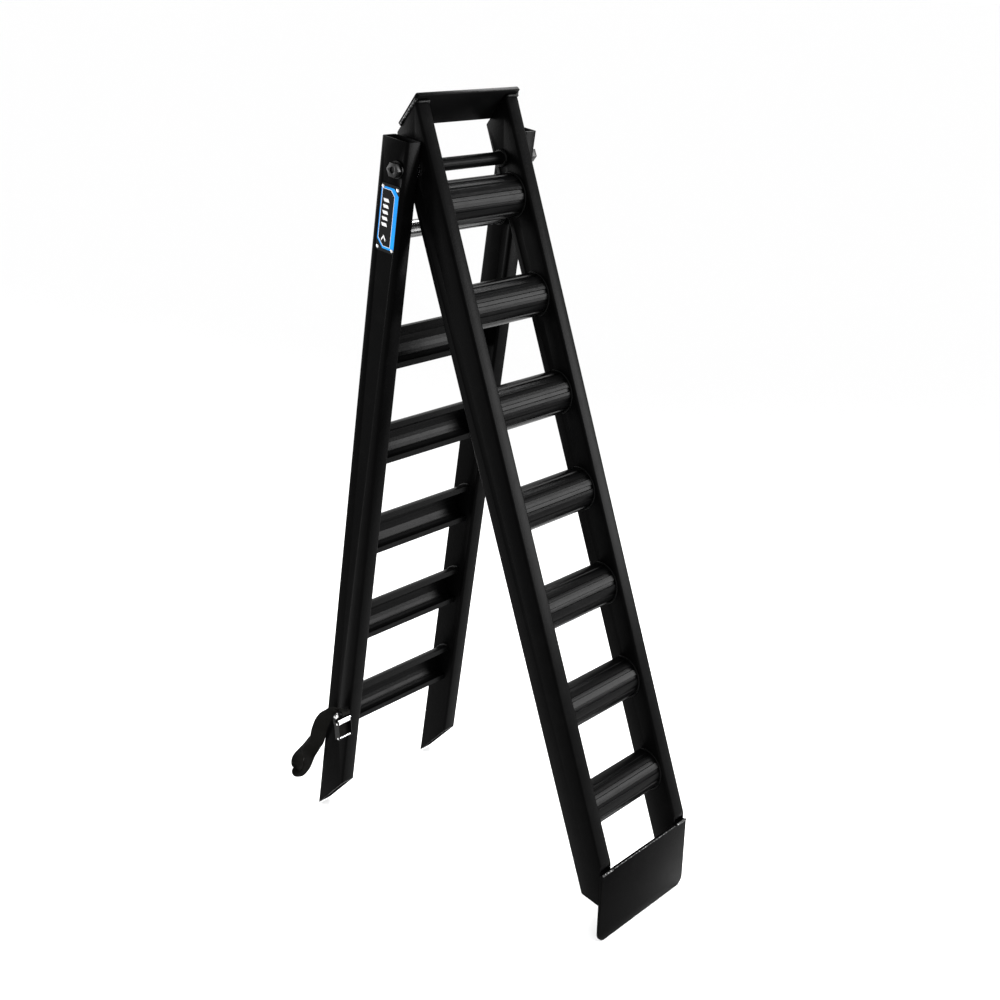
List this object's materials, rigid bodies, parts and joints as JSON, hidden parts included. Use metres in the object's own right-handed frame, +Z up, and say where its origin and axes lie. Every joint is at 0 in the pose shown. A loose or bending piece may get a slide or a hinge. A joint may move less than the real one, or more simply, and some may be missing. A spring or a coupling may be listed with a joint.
{
  "type": "folding loading ramp",
  "caption": "Folding ladder ramp for loading a vehicle or trailer: narrow upper half with a tailgate lip, wide lower half, arched fluted rungs, bolt hinge and tie strap.",
  "frame": {"origin": "bottom centre of the bounding box, on the floor that the standing A-frame rests on", "axes": "+Z up; X along the hinge bolt, +X towards the nut; +Y from the tailgate lip's foot towards the lower half's feet"},
  "size_m": [0.317, 0.6072, 1.1664],
  "materials": {
    "black_aluminium": "satin black powder coat over aluminium",
    "dark_steel": "black oxide steel",
    "bright_steel": "bright zinc plated steel",
    "label": "printed foil plate with plain colour bands",
    "webbing": "black woven polyester webbing"
  },
  "bodies": {
    "lower_half": {"lower_rail_left": "black_aluminium", "lower_rail_right": "black_aluminium", "lower_rung_1": "black_aluminium", "lower_rung_2": "black_aluminium", "lower_rung_3": "black_aluminium", "lower_rung_4": "black_aluminium", "lower_rung_5": "black_aluminium", "stop_bar": "black_aluminium", "head_washer": "dark_steel", "nut_washer": "dark_steel", "spacer_left": "bright_steel", "spacer_right": "bright_steel", "hinge_bolt": "dark_steel", "hinge_nut": "dark_steel", "nameplate": "label", "nameplate_rivet_1": "bright_steel", "nameplate_rivet_2": "bright_steel", "nameplate_rivet_3": "bright_steel", "nameplate_rivet_4": "bright_steel", "strap_anchor": "bright_steel", "buckle_bracket": "dark_steel", "buckle_frame": "dark_steel", "buckle_bar_top": "bright_steel", "buckle_bar_bottom": "bright_steel", "strap_tail": "webbing"},
    "upper_half": {"upper_rail_left": "black_aluminium", "upper_rail_right": "black_aluminium", "upper_rung_1": "black_aluminium", "upper_rung_2": "black_aluminium", "upper_rung_3": "black_aluminium", "upper_rung_4": "black_aluminium", "upper_rung_5": "black_aluminium", "upper_rung_6": "black_aluminium", "upper_rung_7": "black_aluminium", "hinge_tube": "black_aluminium", "lip_plate": "black_aluminium", "stop_plate": "black_aluminium"},
    "buckle_lever": {"buckle_lever": "bright_steel"}
  },
  "joints": [
    {"name": "fold", "type": "hinge", "parent": "lower_half", "child": "upper_half", "pos_m": [0.0082, 0.10501, 1.06575], "axis": [-1, 0, 0], "range_deg": [-18.4, 152.3]},
    {"name": "buckle_release", "type": "hinge", "parent": "lower_half", "child": "buckle_lever", "pos_m": [-0.1428, 0.18817, 0.19035], "axis": [1, 0, 0], "range_deg": [0, 55], "stiffness_Nm_per_rad": 0.05}
  ]
}
